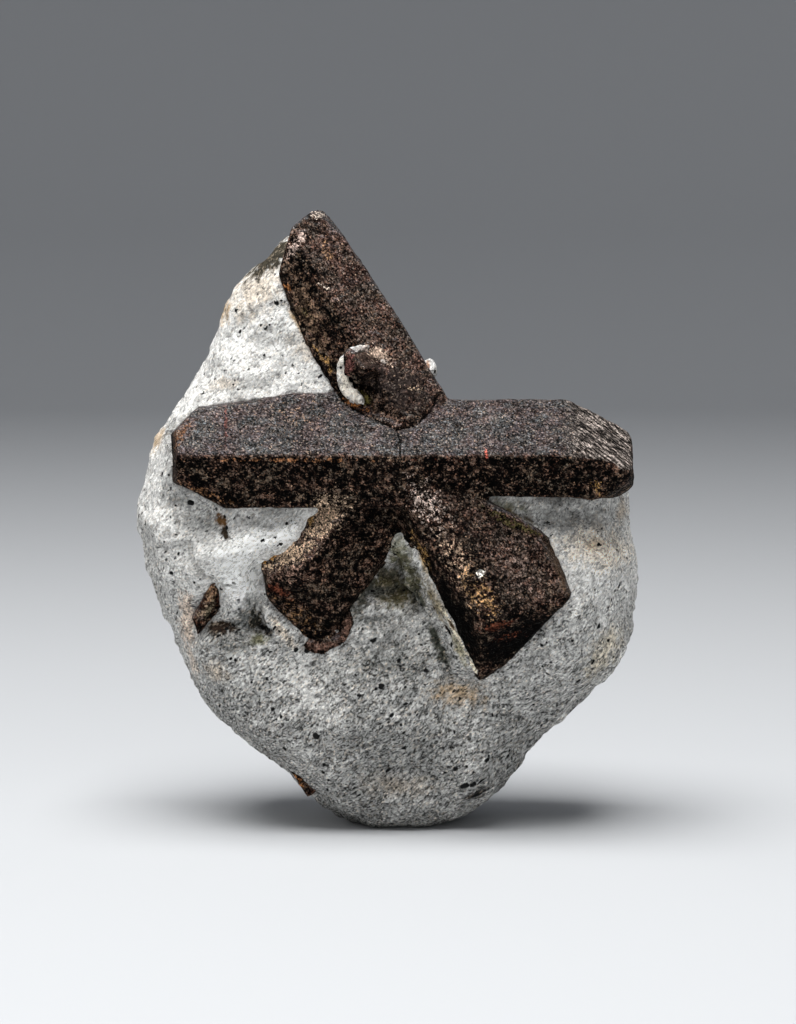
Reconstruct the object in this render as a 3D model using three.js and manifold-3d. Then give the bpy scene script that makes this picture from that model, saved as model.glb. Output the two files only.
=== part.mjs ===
import * as THREE from "three";
import { mergeVertices } from "three/addons/utils/BufferGeometryUtils.js";
import Module from "manifold-3d";

// A staurolite cross on its stone: one bar and three shorter arms of dark brown staurolite,
// grown through each other at about 60 degrees, set in the front of a pale mica schist pebble
// that stands on a small worn flat. Lengths are in millimetres and angles in degrees.
// +X is to the right, +Y away from the viewer and +Z up. The origin is on the worn flat.

// The gap that is left between a crystal and the stone that holds it
const CONTACT_GAP = 0.3;

// Prism angles of staurolite: how far the surface turns from one face to the next
const TURN_AT_BLUNT_EDGE = 50.6;
const TURN_AT_SIDE_FACE = 64.7;

// The stone's outline from the front: X, Y and Z, from the tip of its horn anticlockwise
const RIM = [
  [-12.6, -11.5, 89.8],
  [-15.6, -11, 87.1],
  [-18.4, -10, 84.7],
  [-21.9, -9, 81.5],
  [-24.4, -7, 76.3],
  [-26.9, -5, 69.6],
  [-30.7, -3, 63.6],
  [-33.4, -2, 59.6],
  [-35.7, -1, 53.1],
  [-37.4, 0, 46.3],
  [-36.4, 0, 41.4],
  [-35.2, 0, 36.5],
  [-32.4, 0, 29.3],
  [-28.6, 0, 20.6],
  [-21.4, 0, 12.6],
  [-13.9, 0, 7.0],
  [-9.4, 0, 2.4],
  [-4.4, 0, -0.5],
  [2.1, 0, -1.4],
  [8.4, 0, -0.6],
  [14.4, 0, 2.8],
  [18.9, 0, 7.4],
  [23.3, 0, 13.1],
  [31.4, 0, 20.8],
  [36.0, 0, 26.7],
  [36.9, 0, 33.5],
  [37.5, 0, 39.3],
  [36.5, -1, 44.8],
  [36.0, -2, 49.4],
  [33.6, -3, 54.4],
  [29.0, -4, 57.8],
  [19.9, -5, 59.6],
  [10.0, -6, 61.0],
  [4.2, -7, 65.4],
  [-1.6, -8, 73.3],
  [-7.0, -9, 82.2],
];
const HEART = [0, 42];
const RIM_ROUNDING = 8.5;
const RIM_SECTORS = 84;
const RIM_RINGS = 5;
const FACE_RINGS = 12;

// How far the front of the stone stands out, at places named by X and Z
const FRONT_RELIEF = [
  { place: "tip of the horn", at: [-16, 84], out: 17.5 },
  { place: "horn beside the upper arm", at: [-15, 79], out: 16.3 },
  { place: "horn lower down the arm", at: [-12.5, 73.2], out: 16.9 },
  { place: "left side of the horn", at: [-20, 76], out: 14.5 },
  { place: "slope above the bar", at: [-10, 68.5], out: 17.8 },
  { place: "slope above the bar's left end", at: [-24, 67], out: 16.2 },
  { place: "stone around the bar's left end", at: [-31, 58], out: 19.5 },
  { place: "left flank", at: [-31, 47], out: 17.5 },
  { place: "swell below the bar", at: [-21, 46], out: 20.5 },
  { place: "corner below the bar and the left arm", at: [-13, 47], out: 20.5 },
  { place: "hollow by the left arm's end", at: [-19.5, 34], out: 16.2 },
  { place: "left lower flank", at: [-28, 31], out: 15.5 },
  { place: "below the left arm", at: [-14, 24], out: 16.5 },
  { place: "belly", at: [-2, 21], out: 18.5 },
  { place: "foot", at: [3, 6], out: 11.5 },
  { place: "right lower flank", at: [21, 14], out: 12.5 },
  { place: "hollow below the right arm", at: [13, 21.5], out: 13.5 },
  { place: "stone under the right arm's end", at: [20, 27.5], out: 17 },
  { place: "stone beside the right arm's end", at: [26.5, 32], out: 20.5 },
  { place: "right flank", at: [32.5, 32], out: 15.5 },
  { place: "stone beside the right arm", at: [26, 42], out: 20.5 },
  { place: "stone in the corner above the right arm", at: [17.5, 50], out: 22 },
  { place: "below the bar's right end", at: [32, 48], out: 16 },
  { place: "valley between the arms", at: [2.5, 38.5], out: 12 },
  { place: "left side of the valley", at: [-2, 32], out: 17 },
  { place: "lower end of the valley", at: [5.5, 31], out: 13 },
  { place: "lip beside the right arm", at: [9.3, 34.5], out: 20 },
  { place: "lower end of that lip", at: [12.2, 28], out: 18.5 },
  { place: "behind the bar's right half", at: [22, 57], out: 9 },
  { place: "behind the upper arm", at: [2, 68], out: 9 },
];

// How far the back of the stone stands out, at places named by X and Z
const BACK_RELIEF = [
  { place: "tip of the horn", at: [-12, 85], out: -3 },
  { place: "back of the horn", at: [-13, 75], out: 2.5 },
  { place: "upper left ledge", at: [-24, 62], out: 9.5 },
  { place: "upper right ledge", at: [18, 55], out: 10.5 },
  { place: "left flank", at: [-28, 40], out: 14 },
  { place: "middle of the back", at: [-4, 46], out: 19.5 },
  { place: "right flank", at: [28, 38], out: 14 },
  { place: "hollow of the back", at: [10, 28], out: 15.5 },
  { place: "swell of the back", at: [-12, 22], out: 18 },
  { place: "foot", at: [2, 6], out: 12.5 },
];
const RELIEF_SPREAD = 4;

// Low waves of the stone's surface, as on weathered schist
const WAVE_HEIGHT = 0.45;
const WAVE_X = 0.42;
const WAVE_Z = 0.36;

// Each crystal starts from its front ridge. "heading" is the way it runs, seen from the front and
// measured up from +X, and "toward" is how far it leans to the viewer. "sides" are the faces met
// on going round from the ridge, [width, how far the face leans from the front]; the other half
// of the section is the same turned about. "ends" are the planes that cut the crystal off.
const BAR_RIDGE = [0, -26, 57];
const BAR_LEAN = 43;

function habit(broad, side, lean, order = "side last") {
  const turns = {
    "side last": [0, TURN_AT_BLUNT_EDGE, TURN_AT_BLUNT_EDGE + TURN_AT_SIDE_FACE],
    "side second": [0, TURN_AT_SIDE_FACE, 2 * TURN_AT_SIDE_FACE],
  }[order];
  const widths = { "side last": [broad, broad, side], "side second": [broad, side, broad] };
  return turns.map((turn, i) => [widths[order][i], lean + turn]);
}

const CRYSTALS = {
  barLeft: {
    ridge: BAR_RIDGE,
    heading: 0,
    toward: 0,
    span: [-32, 2],
    sides: habit(11.75, 8.2, BAR_LEAN),
    ends: [
      { through: [-30.6, -20, 59], facing: [-1, -0.12, 0] },
      { through: [-27.6, -18, 63.3], facing: [-0.72, 0, 0.7] },
      { through: [-16.0, -18, 65.1], facing: [-0.15, 0, 0.99] },
      { through: [-29.3, -23, 52.5], facing: [-0.44, -0.1, -0.9] },
    ],
  },
  barRight: {
    ridge: BAR_RIDGE,
    heading: 0,
    toward: 0,
    span: [-2, 36],
    sides: habit(10.5, 6.4, BAR_LEAN),
    ends: [
      { through: [35.1, -20, 57], facing: [1, -0.05, 0.05] },
      { through: [27.4, -20, 62.8], facing: [0.4, -0.56, 0.72] },
      { through: [26.6, -18, 64.3], facing: [0.46, 0.2, 0.86] },
      { through: [33.2, -22, 51.9], facing: [0.62, -0.2, -0.76] },
    ],
  },
  upperArm: {
    ridge: [3.1, -22.2, 61.3],
    heading: -58.5,
    toward: 6,
    span: [-40, 3],
    sides: habit(7.4, 6.5, 26, "side second"),
    ends: [
      { through: [-10.1, -12, 91.8], facing: [-0.65, 0.1, 0.76] },
      { through: [-9.0, -12, 91.1], facing: [0.65, -0.1, 0.76] },
      { through: [-4.7, -15, 85.8], facing: [0.83, 0, 0.557] },
      { through: [-15.6, -16, 82.5], facing: [-0.963, 0, 0.268] },
      { through: [-15.6, -16, 82.5], facing: [-0.93, 0, -0.366] },
    ],
  },
  lowerRightArm: {
    ridge: [8.4, -24.2, 50.5],
    heading: -58.5,
    toward: 3,
    span: [-4, 30],
    sides: [
      [8.4, 10],
      [6.5, 72],
      [9, 122.3],
      [5.2, 173],
    ],
    ends: [
      { through: [20, -24.5, 33.9], facing: [0.24, -0.7, -0.67] },
      { through: [21.6, -21, 29.2], facing: [0.54, -0.1, -0.84] },
      { through: [26.1, -21, 35.9], facing: [0.72, -0.1, -0.68] },
      { through: [25.4, -20, 40.2], facing: [0.965, 0, 0.26] },
      { through: [18.4, -22, 48.2], facing: [0.49, 0, 0.87] },
    ],
  },
  lowerLeftArm: {
    ridge: [-2.9, -22.6, 52.6],
    heading: -126,
    toward: 1,
    span: [-8, 30],
    sides: habit(9.5, 7, 28),
    ends: [
      { through: [-13.0, -21.7, 39.4], facing: [-0.12, -0.86, -0.5] },
      { through: [-13.9, -17.0, 32.1], facing: [-0.7, -0.2, -0.68] },
      { through: [-17.7, -17.0, 37.9], facing: [-0.98, -0.1, -0.12] },
      { through: [-8.6, -16.0, 28.6], facing: [0.5, -0.2, -0.84] },
    ],
  },
  lowerLeftStep: {
    ridge: [-3.2, -16.8, 38.2],
    heading: -126,
    toward: 0,
    span: [5.5, 12],
    sides: habit(2.6, 2.2, 20),
    ends: [{ through: [-8.0, -16.5, 29.0], facing: [-0.1, -0.3, -0.95] }],
  },
  nub: {
    ridge: [-4.3, -22.9, 71.1],
    heading: -62,
    toward: 24,
    span: [-0.6, 3.0],
    sides: habit(1.9, 2.7, 30),
    ends: [{ through: [-3.3, -23.4, 69.1], facing: [0.2, -0.85, -0.6] }],
  },
};

// Small staurolites of their own in the stone
const SMALL_CRYSTALS = {
  staurolite_small_left: {
    ridge: [-25.8, -17.5, 34.1],
    heading: 66,
    toward: 2,
    span: [-6, 6],
    sides: habit(2.6, 2.1, 24),
    ends: [
      { through: [-27.0, -17, 35.3], facing: [-0.88, 0, 0.47] },
      { through: [-24.7, -17, 37.7], facing: [0.9, 0, 0.43] },
      { through: [-24.3, -17, 35.5], facing: [1, -0.1, 0] },
      { through: [-26.1, -17, 32.1], facing: [0.78, -0.1, -0.62] },
      { through: [-28.1, -17, 32.0], facing: [-0.96, 0, -0.28] },
    ],
  },
  staurolite_small_edge: {
    ridge: [-12.4, -9.6, 7.8],
    heading: -55,
    toward: 10,
    span: [-2.2, 2.4],
    sides: habit(1.9, 1.6, 20),
    ends: [],
  },
};

// Shreds of the stone left on the upper arm: a crescent round the nub and a sliver on the edge
const CRESCENT = {
  at: [-2.9, 68.4],
  radius: 4.35,
  thickness: 1.1,
  bites: [
    { at: [-2.0, 68.9], radius: 3.8 },
    { at: [0.4, 65.4], radius: 3.9 },
  ],
};
const SLIVER = { at: [6.5, -15.6, 69.1], halfLength: 1.5, halfWidth: 0.75, tilt: -68 };

const wasm = await Module();
wasm.setup();

function solidOf(geometry) {
  const bare = geometry.clone();
  bare.deleteAttribute("normal");
  bare.deleteAttribute("uv");
  const merged = mergeVertices(bare);
  return new wasm.Manifold(
    new wasm.Mesh({
      numProp: 3,
      vertProperties: merged.attributes.position.array,
      triVerts: new Uint32Array(merged.index.array),
    }),
  );
}

function geometryOf(solid) {
  const { vertProperties, triVerts } = solid.getMesh();
  const geometry = new THREE.BufferGeometry();
  geometry.setAttribute("position", new THREE.BufferAttribute(vertProperties, 3));
  geometry.setIndex(new THREE.BufferAttribute(triVerts, 1));
  const faceted = geometry.toNonIndexed();
  faceted.computeVertexNormals();
  return faceted;
}

const radians = THREE.MathUtils.degToRad;

// The section of a crystal, in (across, towards the viewer), its ridge at the origin and each
// face moved out by "grow"
function sectionOf(sides, grow) {
  const leans = [...sides, ...sides.map(([width, lean]) => [width, lean + 180])];
  const corner = new THREE.Vector2();
  const outwards = leans.map(
    ([, lean]) => new THREE.Vector2(Math.sin(radians(lean)), Math.cos(radians(lean))),
  );
  const corners = leans.map(([width, lean], i) => {
    const [before, after] = [outwards.at(i - 1), outwards[i]];
    const push = before.clone().add(after);
    const moved = corner.clone().addScaledVector(push, grow / (1 + before.dot(after)));
    corner.x += width * Math.cos(radians(lean));
    corner.y -= width * Math.sin(radians(lean));
    return moved;
  });
  return new THREE.Shape(corners);
}

// Everything on the far side of a plane
function beyond(through, facing, grow) {
  const size = 120;
  const normal = new THREE.Vector3(...facing).normalize();
  const block = new THREE.BoxGeometry(size, size, size);
  const turn = new THREE.Quaternion().setFromUnitVectors(new THREE.Vector3(0, 0, 1), normal);
  const centre = new THREE.Vector3(...through).addScaledVector(normal, size / 2 + grow);
  return solidOf(
    block.applyMatrix4(new THREE.Matrix4().compose(centre, turn, new THREE.Vector3(1, 1, 1))),
  );
}

function crystal({ ridge, heading, toward, span, sides, ends }, grow = 0) {
  const [from, to] = [span[0] - grow, span[1] + grow];
  const along = new THREE.Vector3(
    Math.cos(radians(heading)) * Math.cos(radians(toward)),
    -Math.sin(radians(toward)),
    Math.sin(radians(heading)) * Math.cos(radians(toward)),
  );
  const viewer = new THREE.Vector3(0, -1, 0);
  const out = viewer.addScaledVector(along, -viewer.dot(along)).normalize();
  const across = new THREE.Vector3().crossVectors(out, along);
  const prism = new THREE.ExtrudeGeometry(sectionOf(sides, grow), {
    depth: to - from,
    bevelEnabled: false,
  });
  const start = new THREE.Vector3(...ridge).addScaledVector(along, from);
  prism.applyMatrix4(new THREE.Matrix4().makeBasis(across, out, along).setPosition(start));
  return ends.reduce(
    (solid, { through, facing }) => solid.subtract(beyond(through, facing, grow)),
    solidOf(prism),
  );
}

function twin(grow = 0) {
  const parts = Object.values(CRYSTALS).map((spec) => crystal(spec, grow));
  return parts.reduce((whole, part) => whole.add(part));
}

// Weighted mean of the named heights, each counting most near its own place
function reliefAt(relief, x, z) {
  let total = 0;
  let weights = 0;
  for (const { at, out } of relief) {
    const near = (x - at[0]) ** 2 + (z - at[1]) ** 2 + RELIEF_SPREAD ** 2;
    total += out / near ** 2;
    weights += 1 / near ** 2;
  }
  const wave = Math.sin(WAVE_X * x + 0.23 * z) * Math.sin(WAVE_Z * z - 0.17 * x);
  return total / weights + WAVE_HEIGHT * wave;
}

// One ring of the stone, a distance in from the outline, on the front (-1) or the back (+1)
function stoneRing(outline, inward, side) {
  const relief = side < 0 ? FRONT_RELIEF : BACK_RELIEF;
  return outline.map(({ x: rimX, y: rimY, z: rimZ }) => {
    const reach = Math.hypot(rimX - HEART[0], rimZ - HEART[1]);
    const share = 1 - Math.min(inward(reach) / reach, 1);
    const x = HEART[0] + (rimX - HEART[0]) * share;
    const z = HEART[1] + (rimZ - HEART[1]) * share;
    const drop = Math.max(1 - inward(reach) / RIM_ROUNDING, 0);
    const y = rimY + (side * reliefAt(relief, x, z) - rimY) * Math.sqrt(1 - drop ** 2);
    return [x, y, z];
  });
}

// Triangles between two rings; an inner ring may keep only every second point
function stitch(index, n, outerStart, outerStride, innerStart, innerStride) {
  for (let i = 0; i < n; i += innerStride) {
    const end = (i + innerStride) % n;
    const [a, b, c, d] = [outerStart + i, outerStart + end, innerStart + i, innerStart + end];
    if (outerStride === innerStride) {
      index.push(a, b, d, a, d, c);
    } else {
      const middle = outerStart + i + outerStride;
      index.push(a, middle, c, middle, b, d, middle, d, c);
    }
  }
}

function stone() {
  const curve = new THREE.CatmullRomCurve3(
    RIM.map((point) => new THREE.Vector3(...point)),
    true,
    "centripetal",
  );
  const outline = curve.getSpacedPoints(RIM_SECTORS).slice(0, RIM_SECTORS);
  const rounded = Array.from({ length: RIM_RINGS }, (_, i) => {
    const turn = ((i + 1) / RIM_RINGS) * (Math.PI / 2);
    return () => RIM_ROUNDING * (1 - Math.cos(turn));
  });
  const flat = Array.from({ length: FACE_RINGS - 1 }, (_, i) => {
    const share = (i + 1) / FACE_RINGS;
    return (reach) => RIM_ROUNDING + (reach - RIM_ROUNDING) * share;
  });
  const inwards = [...rounded, ...flat];
  const strideOf = (ring) => {
    const share = (ring - RIM_RINGS) / FACE_RINGS;
    return share > 0.75 ? 4 : share > 0.45 ? 2 : 1;
  };
  const points = [stoneRing(outline, () => 0, -1)];
  const index = [];
  const n = RIM_SECTORS;
  for (const side of [-1, 1]) {
    const facets = [];
    let outer = { start: 0, stride: 1 };
    inwards.forEach((inward, ring) => {
      const inner = { start: points.length * n, stride: strideOf(ring) };
      points.push(stoneRing(outline, inward, side));
      stitch(facets, n, outer.start, outer.stride, inner.start, inner.stride);
      outer = inner;
    });
    const pole = points.length * n;
    const relief = side < 0 ? FRONT_RELIEF : BACK_RELIEF;
    points.push(outline.map(() => [HEART[0], side * reliefAt(relief, ...HEART), HEART[1]]));
    for (let i = 0; i < n; i += outer.stride) {
      facets.push(outer.start + i, outer.start + ((i + outer.stride) % n), pole);
    }
    index.push(...(side < 0 ? facets : facets.toReversed()));
  }
  const geometry = new THREE.BufferGeometry();
  const flatPoints = index.flatMap((v) => points[Math.floor(v / n)][v % n]);
  geometry.setAttribute("position", new THREE.Float32BufferAttribute(flatPoints, 3));
  return solidOf(geometry);
}

// A crescent seen from the front, kept where it lies on the upper arm's surface
function crescent() {
  const disc = ({ at, radius }, depth) =>
    solidOf(new THREE.CylinderGeometry(radius, radius, depth, 28).translate(at[0], -20, at[1]));
  const skin = crystal(CRYSTALS.upperArm, CONTACT_GAP + CRESCENT.thickness);
  return CRESCENT.bites
    .reduce((left, bite) => left.subtract(disc(bite, 20)), disc(CRESCENT, 16))
    .intersect(skin)
    .subtract(twin(CONTACT_GAP));
}

function sliver() {
  const { at, halfLength, halfWidth, tilt } = SLIVER;
  const grain = new THREE.IcosahedronGeometry(1, 2);
  grain.scale(halfLength, halfWidth * 1.5, halfWidth);
  grain.rotateY(-radians(tilt)).translate(...at);
  return solidOf(grain).subtract(twin(CONTACT_GAP));
}

// The stone with room for its crystals, worn flat where it stands
function matrixStone() {
  const worn = stone().subtract(beyond([0, 0, 0], [0, 0, -1], 0));
  const { at, radius } = CRESCENT;
  const reach = radius + CONTACT_GAP;
  const besideCrescent = new THREE.CylinderGeometry(reach, reach, 12, 28);
  const rooms = [
    twin(CONTACT_GAP),
    ...Object.values(SMALL_CRYSTALS).map((spec) => crystal(spec, CONTACT_GAP)),
    solidOf(besideCrescent.translate(at[0], -22, at[1])),
  ];
  return rooms.reduce((left, room) => left.subtract(room), worn);
}

const SCHIST = new THREE.MeshStandardMaterial({ color: 0xb9bab4, roughness: 0.85, metalness: 0 });
const STAUROLITE = new THREE.MeshStandardMaterial({ color: 0x33221b, roughness: 0.55, metalness: 0 });

const cross = new THREE.Group();

function addPiece(name, solid, material) {
  const mesh = new THREE.Mesh(geometryOf(solid), material);
  mesh.name = name;
  cross.add(mesh);
}

addPiece("schist_stone", matrixStone(), SCHIST);
addPiece("staurolite_twin", twin(), STAUROLITE);
for (const [name, spec] of Object.entries(SMALL_CRYSTALS)) {
  addPiece(name, crystal(spec), STAUROLITE);
}
addPiece("schist_crescent", crescent(), SCHIST);
addPiece("schist_sliver", sliver(), SCHIST);

// The origin is below the middle of the whole
const middle = new THREE.Box3().setFromObject(cross).getCenter(new THREE.Vector3());
for (const piece of cross.children) {
  piece.geometry.translate(-middle.x, -middle.y, 0);
}

export default cross;
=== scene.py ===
# %% [markdown]
# # A staurolite cross on its stone
#
# Staurolite grows in mica schist as blunt six-sided prisms, and two of them often grow through
# each other at about 60 degrees. Here one long prism lies level, a second runs from the upper
# left to the lower right, and a third leaves to the lower left, so the whole reads as a cross.
# The stone round them is a pale pebble of schist, worn smooth except where it holds them.
#
# The script goes from the general to the particular: the camera and the light, then the shapes
# (stone, crystals, shreds of stone, dark grains), then the finishes, and last the bookkeeping
# that ties each piece to the solid it stands for. Lengths are in millimetres until the very end,
# with +X to the right, +Y away from the viewer and +Z up, and the stone stands on z = 0.

import math

import bmesh
import bpy
import numpy as np
from mathutils import Matrix, Vector, noise
from mathutils.bvhtree import BVHTree


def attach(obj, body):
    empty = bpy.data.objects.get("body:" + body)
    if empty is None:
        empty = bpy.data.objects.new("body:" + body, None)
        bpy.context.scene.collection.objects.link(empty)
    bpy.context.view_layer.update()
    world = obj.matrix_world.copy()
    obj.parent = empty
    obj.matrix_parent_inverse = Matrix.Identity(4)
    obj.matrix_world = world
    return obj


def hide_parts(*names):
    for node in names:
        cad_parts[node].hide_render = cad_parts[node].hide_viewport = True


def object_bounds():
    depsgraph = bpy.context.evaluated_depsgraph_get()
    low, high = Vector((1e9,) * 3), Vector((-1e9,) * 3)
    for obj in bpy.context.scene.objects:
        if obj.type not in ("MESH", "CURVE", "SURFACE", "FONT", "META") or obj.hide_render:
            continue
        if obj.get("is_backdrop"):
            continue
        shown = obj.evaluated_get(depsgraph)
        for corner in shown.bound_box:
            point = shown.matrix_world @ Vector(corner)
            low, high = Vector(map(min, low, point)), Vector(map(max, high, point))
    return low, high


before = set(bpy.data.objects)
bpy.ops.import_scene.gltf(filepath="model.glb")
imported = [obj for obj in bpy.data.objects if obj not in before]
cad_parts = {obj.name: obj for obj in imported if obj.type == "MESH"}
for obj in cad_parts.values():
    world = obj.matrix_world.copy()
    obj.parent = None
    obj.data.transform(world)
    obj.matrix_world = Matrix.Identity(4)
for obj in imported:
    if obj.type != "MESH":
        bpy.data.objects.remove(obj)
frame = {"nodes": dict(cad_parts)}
cad_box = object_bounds()
MM = 0.001


def shown(name, data):
    """A new object in the scene."""
    made = bpy.data.objects.new(name, data)
    bpy.context.collection.objects.link(made)
    return made


print("nodes:", ", ".join(frame["nodes"]))

# %% [markdown]
# ## The camera
#
# The stone is seen from the front, from a little above its middle, through a long lens, so its
# edges stay parallel. The camera looks five degrees down at a point just above the middle.

# %% The camera
AIM = Vector((1.55, 3.1, 46.8)) * MM
LOOKING_DOWN = math.radians(5.0)
CAMERA_DISTANCE = 512 * MM

camera = shown("camera", bpy.data.cameras.new("camera"))
camera.data.lens = 120
camera.data.clip_start = 0.01
camera.location = AIM + CAMERA_DISTANCE * Vector(
    (0, -math.cos(LOOKING_DOWN), math.sin(LOOKING_DOWN))
)
camera.rotation_euler = (math.pi / 2 - LOOKING_DOWN, 0, 0)
bpy.context.scene.camera = camera
bpy.context.scene.view_settings.view_transform = "Standard"
print("camera at", [round(c, 3) for c in camera.location])

# %% [markdown]
# ## The floor and the light
#
# The floor is a wide pale dish: flat under the stone and turned up far away, so it has no
# horizon from any side. One large soft lamp hangs above and a little in front. It lights what
# faces up, such as the level prism's upper face, and leaves what faces down dark, which is how
# the flat faces are told apart. A weak wide lamp from the front keeps the shadows open.

# %% The floor and the light
FLOOR_PROFILE = [(0, 0), (0.5, 0), (1.1, 0), (1.5, 0.08), (1.8, 0.35), (1.95, 0.9), (2.0, 1.6)]


def dish(profile, sectors=64):
    """A round floor, turned from a profile of (radius, height) in metres."""
    turns = np.linspace(0, 2 * math.pi, sectors, endpoint=False)
    rings = [[(r * math.cos(t), r * math.sin(t), h) for t in turns] for r, h in profile[1:]]
    points = [(0, 0, profile[0][1])] + [p for ring in rings for p in ring]
    faces = [(0, 1 + i, 1 + (i + 1) % sectors) for i in range(sectors)]
    for k in range(len(rings) - 1):
        a = 1 + k * sectors
        for i in range(sectors):
            j = (i + 1) % sectors
            faces.append((a + i, a + sectors + i, a + sectors + j, a + j))
    mesh = bpy.data.meshes.new("floor")
    mesh.from_pydata(points, [], faces)
    mesh.shade_smooth()
    return mesh


floor = shown("floor", dish(FLOOR_PROFILE))
floor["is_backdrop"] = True

LAMPS = {
    "softbox above": {"at": (-0.08, -0.26, 0.78), "size": 0.60, "watts": 12.0},
    "wide front fill": {"at": (0.30, -1.00, 0.35), "size": 0.90, "watts": 2.0},
    "left edge": {"at": (-0.75, 0.10, 0.40), "size": 0.40, "watts": 1.0},
}
for name, lamp in LAMPS.items():
    light = shown(name, bpy.data.lights.new(name, "AREA"))
    light.data.size = lamp["size"]
    light.data.energy = lamp["watts"]
    light.location = lamp["at"]
    light.rotation_euler = (AIM - light.location).to_track_quat("-Z", "Y").to_euler()

world = bpy.data.worlds.new("sky")
bpy.context.scene.world = world
world.use_nodes = True
world.node_tree.nodes["Background"].inputs["Color"].default_value = (0.80, 0.86, 1.0, 1)
world.node_tree.nodes["Background"].inputs["Strength"].default_value = 0.14
print(len(LAMPS), "lamps")

# %% [markdown]
# ## Working on surfaces
#
# Each piece starts from its solid of the frame, cut into small even squares, because fine
# relief needs points to move. Three tools are then enough. Smoothing averages each point with
# its neighbours and takes away the facets. Relief moves points along their normals by noise of
# a named grain size. Seating moves the points that are near a crystal onto it, so that stone
# and crystal meet without a seam, as they do where one has grown inside the other.

# %% Tools for surfaces
CONTACT_GAP = 0.3  # between a crystal's solid and the stone's
SEAT_DEPTH = 0.15  # how far the dressed stone is drawn into a crystal


def unit_ball():
    """The points and faces of a ball of 80 triangles."""
    ball = bmesh.new()
    bmesh.ops.create_icosphere(ball, subdivisions=2, radius=1)
    points = np.array([v.co[:] for v in ball.verts])
    faces = [[v.index for v in f.verts] for f in ball.faces]
    ball.free()
    return points, faces


BALL_POINTS, BALL_FACES = unit_ball()


def lump(at, along, radius, long=1.0, flat=1.0):
    """The points and faces of one rounded lump, drawn out along a direction."""
    outward = Vector((0, -1, 0))
    side = along.cross(outward).normalized()
    axes = Matrix((along.normalized() * radius * long, side * radius, outward * radius * flat))
    return BALL_POINTS @ np.array(axes) + np.array(at), BALL_FACES


def fine_mesh(node, cell, lumps=()):
    """A closed copy of a solid, with lumps stuck on, in even squares of that many millimetres."""
    shape = bmesh.new()
    shape.from_mesh(frame["nodes"][node].data)
    for points, faces in lumps:
        corners = [shape.verts.new(p * MM) for p in points]
        for face in faces:
            shape.faces.new([corners[i] for i in face])
    mesh = bpy.data.meshes.new("shape")
    shape.to_mesh(mesh)
    shape.free()
    copy = shown("copy", mesh)
    remesh = copy.modifiers.new("squares", "REMESH")
    remesh.mode = "VOXEL"
    remesh.voxel_size = cell * MM
    graph = bpy.context.evaluated_depsgraph_get()
    mesh = bpy.data.meshes.new_from_object(copy.evaluated_get(graph))
    bpy.data.objects.remove(copy)
    return mesh


def read(items, name, kind=float, width=3):
    """One number or vector of each vertex or edge, as an array."""
    flat = np.empty(len(items) * width, kind)
    items.foreach_get(name, flat)
    return flat.reshape(-1, width)


class Surface:
    """The points of a mesh in millimetres, with what moves them."""

    def __init__(self, mesh):
        self.mesh = mesh
        self.points = read(mesh.vertices, "co") / MM
        self.edges = read(mesh.edges, "vertices", np.int32, 2)

    def write(self):
        self.mesh.vertices.foreach_set("co", (self.points * MM).ravel())
        self.mesh.update()

    def normals(self):
        self.write()
        return read(self.mesh.vertices, "normal")

    def averaged(self, rounds):
        """The points after that many rounds of meeting their neighbours halfway."""
        points = self.points
        ends = np.concatenate([self.edges, self.edges[:, ::-1]])
        count = np.bincount(ends[:, 0], minlength=len(points))[:, None]
        for _ in range(rounds):
            sums = [np.bincount(ends[:, 0], points[ends[:, 1], k], len(points)) for k in range(3)]
            points = 0.5 * points + 0.5 * np.stack(sums, 1) / count
        return points

    def smooth(self, rounds, share=1.0):
        self.points = self.points + (self.averaged(rounds) - self.points) * share

    def raise_by(self, height):
        self.points = self.points + self.normals() * np.asarray(height)[:, None]

    def finish(self, name):
        """The object that shows this surface, kept inside the box of the solids."""
        low, high = (np.array(corner) / MM for corner in cad_box)
        self.points = np.clip(self.points, low, high)
        self.write()
        self.mesh.shade_smooth()
        self.mesh.name = name
        self.mesh.materials.clear()
        return shown(name, self.mesh)


def rough(points, size, octaves=2, seed=0):
    """Smooth noise between about -1 and 1, with lumps of that many millimetres."""
    shift = Vector((17.3 * seed, 5.1 * seed, 9.7 * seed))
    return np.array([noise.fractal(Vector(p) / size + shift, 1, 2, octaves) for p in points])


def ramp(value, low, high):
    """0 below low, 1 above high, and a smooth rise between them."""
    t = np.clip((value - low) / (high - low), 0, 1)
    return t * t * (3 - 2 * t)


def tree_of(*nodes):
    """What finds the nearest point on these solids."""
    points, faces = [], []
    for node in nodes:
        mesh = frame["nodes"][node].data
        start = len(points)
        points += [v.co / MM for v in mesh.vertices]
        faces += [tuple(start + i for i in polygon.vertices) for polygon in mesh.polygons]
    return BVHTree.FromPolygons(points, faces)


def nearest(tree, points):
    """For each point, the nearest place on the solids and how far outside them it is."""
    found = [tree.find_nearest(p) for p in points]
    places = np.array([hit[0] for hit in found])
    outward = np.array([hit[1] for hit in found])
    side = np.sign(((points - places) * outward).sum(1))
    return places, side * np.array([hit[3] for hit in found])


def seat(surface, tree, depth, reach):
    """Draws the points near the solids towards them, to "depth" inside what touches them."""
    places, gap = nearest(tree, surface.points)
    pull = (CONTACT_GAP + depth) * (1 - ramp(gap, 0.35, reach)) * (gap > 0)
    toward = (places - surface.points) / np.maximum(gap, 1e-6)[:, None]
    surface.points = surface.points + toward * pull[:, None]


print("tools ready")

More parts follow.
